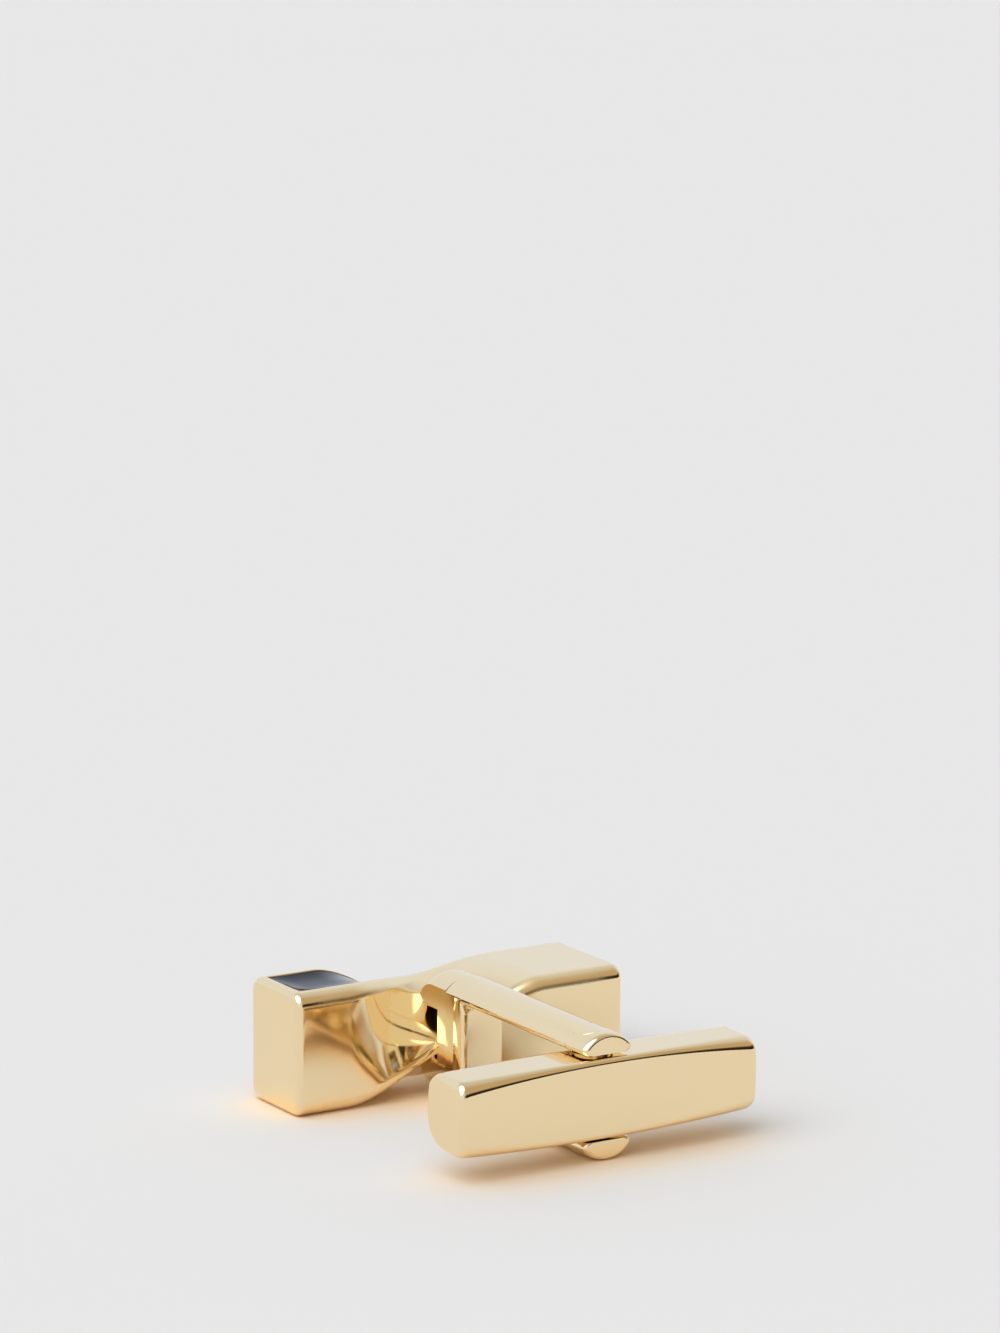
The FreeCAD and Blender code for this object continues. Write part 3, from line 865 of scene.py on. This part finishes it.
def toggle_ring(x, inset, fall=0.0):
    """A section: inset is taken off its front and back, and fall is the share of the end's rounding."""
    share = (x / TOGGLE_HALF) ** 2
    half_height = TOGGLE_MIDDLE - TOGGLE_CROWN * share
    front = FRONT_ROUND_MIDDLE + (FRONT_ROUND_END - FRONT_ROUND_MIDDLE) * share
    near = max(front - FRONT_SHRINK * inset, SMALLEST_ROUND)
    outline = rounded_outline(toggle_low.y + inset, toggle_high.y - inset, -half_height, half_height,
                              [BACK_ROUND_BOTTOM - inset, BACK_ROUND_TOP - inset, near, near])
    bow = math.copysign(END_BOW * abs(x / TOGGLE_HALF) ** END_BOW_POWER, x)
    ring = []
    for y, z in outline:
        to_front = (toggle_high.y - y) / (toggle_high.y - toggle_low.y)
        z *= 1 - fall * (BACK_CORNER + (CORNER_ROUND - BACK_CORNER) * to_front) / half_height
        ring.append((PIVOT.x + x - bow * (z / TOGGLE_MIDDLE) ** 2, y, PIVOT.z + z))
    return ring


def toggle_rings():
    """The rounding of one end, the run between, and the same rounding mirrored."""
    end = [(CORNER_ROUND * (1 - math.cos(angle)), END_EDGE_ROUND * (1 - math.sin(angle)), 1 - math.sin(angle))
           for angle in quarter(END_STEPS)]
    run = TOGGLE_HALF - CORNER_ROUND
    rings = [toggle_ring(along - TOGGLE_HALF, inset, fall) for along, inset, fall in end]
    rings += [toggle_ring(run * (2 * step / TOGGLE_STEPS - 1), 0.0) for step in range(1, TOGGLE_STEPS)]
    return rings + [toggle_ring(TOGGLE_HALF - along, inset, fall) for along, inset, fall in reversed(end)]


toggle = skin("toggle", toggle_rings())
toggle.data.materials.append(gold_plate)
tell(toggle)

# %% [markdown]
# The toggle has a slot in its back for the spring and a bore for the rivet. Rings can't make a hole in
# their own side, so both are cut with a Boolean. The cutters flare at the surface, so that the rims come
# out chamfered.

# %% Cut the slot and the bore
spring_low, spring_high = box_in_mm("click_spring")
SLOT_HALF_LENGTH = 4.5
SLOT_HALF_HEIGHT = 0.75
SLOT_CORNER = 0.2
BORE_RADIUS = 0.94
CHAMFER = 0.06
OVERSHOOT = 0.4
FLARE = CHAMFER + OVERSHOOT


def slot_cutter():
    """A block that ends at the spring's seat and flares at the toggle's back."""
    levels = [(spring_low.y, 0.0), (toggle_high.y - CHAMFER, 0.0), (toggle_high.y + OVERSHOOT, FLARE)]
    rings = []
    for y, wider in levels:
        length, height = SLOT_HALF_LENGTH + wider, SLOT_HALF_HEIGHT + wider
        outline = rounded_outline(-length, length, -height, height, [SLOT_CORNER + wider] * 4)
        rings.append([(PIVOT.x + x, y, PIVOT.z + z) for x, z in outline])
    return skin("slot_cutter", rings)


def bore_cutter():
    """A rod that flares above and below the toggle."""
    top = TOGGLE_MIDDLE - CHAMFER
    levels = [(-top - FLARE, FLARE), (-top, 0.0), (top, 0.0), (top + FLARE, FLARE)]
    return skin("bore_cutter", [circle_ring(BORE_RADIUS + wider, PIVOT.z + level) for level, wider in levels])


def cut(piece, cutter):
    """Take the cutter's shape out of the piece."""
    modifier = piece.modifiers.new(cutter.name, "BOOLEAN")
    modifier.object = cutter
    modifier.solver = "EXACT"
    graph = bpy.context.evaluated_depsgraph_get()
    mesh = bpy.data.meshes.new_from_object(piece.evaluated_get(graph), depsgraph=graph)
    piece.modifiers.clear()
    piece.data = mesh
    bpy.data.objects.remove(cutter)
    mesh.set_sharp_from_angle(angle=SHARP_ANGLE)


cut(toggle, slot_cutter())
cut(toggle, bore_cutter())
tell(toggle)

# %% [markdown]
# ## The click spring
# A bowed leaf lies on the floor of the slot and bears on the squared rivet, which is what makes the
# toggle click into place at every quarter turn. A bent plane with Solidify would do, but the rings are at
# hand and give the leaf its rounded edges.

# %% The leaf
LEAF_HALF_THICKNESS = 0.11
LEAF_ROUND = 0.05
LEAF_STEPS = 40


def leaf_rings():
    """One section all along the leaf, carried over the bow."""
    half_length = (spring_high.x - spring_low.x) / 2
    half_width = (spring_high.z - spring_low.z) / 2
    bow = spring_high.y - spring_low.y - 2 * LEAF_HALF_THICKNESS
    outline = rounded_outline(-LEAF_HALF_THICKNESS, LEAF_HALF_THICKNESS, -half_width, half_width,
                              [LEAF_ROUND] * 4)
    for step in range(LEAF_STEPS + 1):
        share = 2 * step / LEAF_STEPS - 1
        middle = spring_low.y + LEAF_HALF_THICKNESS + bow * (1 - share ** 2)
        yield [(PIVOT.x + half_length * share, middle + y, PIVOT.z + z) for y, z in outline]


leaf_spring = skin("leaf_spring", list(leaf_rings()))
leaf_spring.data.materials.append(spring_steel)
tell(leaf_spring)

# %% [markdown]
# ## Who moves with whom
# The toggle and its spring turn about the rivet. Everything else stays with the head. Each mesh stands
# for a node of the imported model, apart from the root, which is part of the head there and a mesh of its
# own here.

# %% Bodies, nodes and material slots
PIECES = [(twisted_head, "head", "head_bar", "gold_plate"),
          (enamel_strip, "head", "enamel_inlay", "navy_enamel"),
          (post_strip, "head", "post", "gold_plate"),
          (rivet, "head", "pivot_rivet", "gold_plate"),
          (toggle, "toggle", "toggle_bar", "gold_plate"),
          (brazing, "head", "braze_joint", "gold_plate"),
          (leaf_spring, "toggle", "click_spring", "spring_steel")]
for piece, body, node, slot in PIECES:
    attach(piece, body)
    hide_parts(node)
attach(post_root, "head")

# %% [markdown]
# ## Floor
# The cufflink lies on pale paper. Gold throws warm light on what is close to it, and that light is painted
# into the paper's colour there as a warm painted glow. A painted spot would stay behind when the toggle
# turns, so Ambient Occlusion measures how open each point of the paper is, and the painted glow follows the
# pieces in every pose.

# %% The paper
FLOOR_RADIUS = 3.0
FLOOR_POINTS = 96
PAPER = (0.718, 0.722, 0.728)
PAINTED_BOUNCE_GLOW = (0.88, 0.69, 0.47)
PAPER_ROUGHNESS = 0.9
WARM_REACH = 0.004
WARM_RAYS = 5
WARM_FROM = 0.95
WARM_FULL = 0.35
SINK = 2e-6


def smooth_step(tree, value, start, end):
    """0 before start and 1 after end, or the other way round where start is the larger."""
    low, high = min(start, end), max(start, end)
    first, last = (0.0, 1.0) if start < end else (1.0, 0.0)
    ends = {"Value": value, "From Min": low, "From Max": high, "To Min": first, "To Max": last}
    return add_node(tree, "ShaderNodeMapRange", ends, interpolation_type="SMOOTHSTEP").outputs["Result"]


def make_floor():
    """A wide disc just under the object."""
    work = bmesh.new()
    bmesh.ops.create_circle(work, cap_ends=True, segments=FLOOR_POINTS, radius=FLOOR_RADIUS)
    mesh = bpy.data.meshes.new("paper")
    work.to_mesh(mesh)
    work.free()
    mesh.transform(Matrix.Translation((0.0, 0.0, cad_low.z - SINK)))
    finish, tree, shader, _ = new_finish("paper")
    # Painted light: where the paper is closed in by pieces, its colour is pushed towards a warm painted
    # bounce glow.
    openness = add_node(tree, "ShaderNodeAmbientOcclusion", {"Distance": WARM_REACH}, samples=WARM_RAYS)
    painted_glow_share = smooth_step(tree, openness.outputs["AO"], WARM_FROM, WARM_FULL)
    tree.links.new(mix_colour(tree, painted_glow_share, PAPER, PAINTED_BOUNCE_GLOW), shader.inputs["Base Color"])
    shader.inputs["Roughness"].default_value = PAPER_ROUGHNESS
    shader.inputs["Specular IOR Level"].default_value = 0.0
    mesh.materials.append(finish)
    floor = bpy.data.objects.new("paper_floor", mesh)
    bpy.context.scene.collection.objects.link(floor)
    return floor


print("floor:", make_floor().name, "with a radius of", FLOOR_RADIUS, "m")

# %% [markdown]
# ## Light
# A mirror needs a room to show. This one is bright all round, with a greyer ceiling and one soft lamp
# high on the left, and it has one dim side, behind the viewer and to the right. That dim side is worth
# having: it draws the thin dark lines along the rounded edges. Lamps and cards could stand round the
# object, but the world shader can paint the whole room by direction, and the light on the paper is then
# even, so the background stays one tone.

# %% The room, painted by direction
BACKGROUND = (0.80, 0.80, 0.797)
WALL = (0.80, 0.86, 0.97)
CEILING = (0.60, 0.60, 0.60)
FRONT_ABOVE = (0.53, 0.42, 0.27)
FRONT_BELOW = (0.03, 0.022, 0.015)
LAMP = (2.7, 2.66, 2.6)
LAMP_DIRECTION = Vector((-0.54, -0.12, 0.83)).normalized()
LAMP_HALF_ANGLE = math.radians(29)
LAMP_EDGE = math.radians(5)
# Where each change in the room starts and ends, in the parts of a direction of length 1.
CEILING_RISE = (0.55, 0.95)
FRONT_RISE = (0.26, 0.45)
FRONT_NEARER = (0.1, -0.45)
FRONT_RIGHTWARDS = (-0.4, 0.1)


def paint_room():
    world = bpy.data.worlds.new("bright_room")
    bpy.context.scene.world = world
    world.use_nodes = True
    tree = world.node_tree
    tree.nodes.clear()
    direction = add_node(tree, "ShaderNodeTexCoord").outputs["Generated"]
    parts = add_node(tree, "ShaderNodeSeparateXYZ", {0: direction}).outputs
    bright_side = mix_colour(tree, smooth_step(tree, parts["Z"], *CEILING_RISE), WALL, CEILING)
    dim_side = mix_colour(tree, smooth_step(tree, parts["Z"], *FRONT_RISE), FRONT_BELOW, FRONT_ABOVE)
    dim_share = maths(tree, "MULTIPLY", smooth_step(tree, parts["Y"], *FRONT_NEARER),
                      smooth_step(tree, parts["X"], *FRONT_RIGHTWARDS))
    colour = mix_colour(tree, dim_share, bright_side, dim_side)
    toward_lamp = add_node(tree, "ShaderNodeVectorMath", {0: direction, 1: LAMP_DIRECTION},
                           operation="DOT_PRODUCT").outputs["Value"]
    lamp_share = smooth_step(tree, toward_lamp, math.cos(LAMP_HALF_ANGLE + LAMP_EDGE),
                             math.cos(LAMP_HALF_ANGLE))
    colour = mix_colour(tree, lamp_share, colour, LAMP)
    seen = add_node(tree, "ShaderNodeLightPath").outputs["Is Camera Ray"]
    colour = mix_colour(tree, seen, colour, BACKGROUND)
    light = add_node(tree, "ShaderNodeBackground", {"Color": colour})
    add_node(tree, "ShaderNodeOutputWorld", {"Surface": light.outputs["Background"]})


paint_room()
scene = bpy.context.scene
scene.view_settings.view_transform = "Standard"
print("world:", scene.world.name)

# %% [markdown]
# ## Camera
# The camera stands a quarter of a metre away with a long lens, low and to the left of the toggle. It could
# be placed by eye. Its angles, distance and aim here come from a fit of the object's corners to the
# picture.

# %% Camera
CAMERA_AZIMUTH = math.radians(-32.31)
CAMERA_ELEVATION = math.radians(11.557)
CAMERA_ROLL = math.radians(0.384)
CAMERA_DISTANCE = 260.0
CAMERA_AIM = Vector((4.464, 7.633, 20.021))
LENS = 143.99
SENSOR = 36.0


def add_camera():
    back = Vector((math.sin(CAMERA_AZIMUTH) * math.cos(CAMERA_ELEVATION),
                   -math.cos(CAMERA_AZIMUTH) * math.cos(CAMERA_ELEVATION), math.sin(CAMERA_ELEVATION)))
    lens = bpy.data.cameras.new("camera")
    lens.lens = LENS
    lens.sensor_width = SENSOR
    camera = bpy.data.objects.new("camera", lens)
    turn = (-back).to_track_quat("-Z", "Y").to_matrix().to_4x4() @ Matrix.Rotation(CAMERA_ROLL, 4, "Z")
    camera.matrix_world = Matrix.Translation((CAMERA_AIM + back * CAMERA_DISTANCE) * MM) @ turn
    scene.collection.objects.link(camera)
    scene.camera = camera


add_camera()
print("camera at, mm:", [round(c / MM, 1) for c in scene.camera.matrix_world.translation])
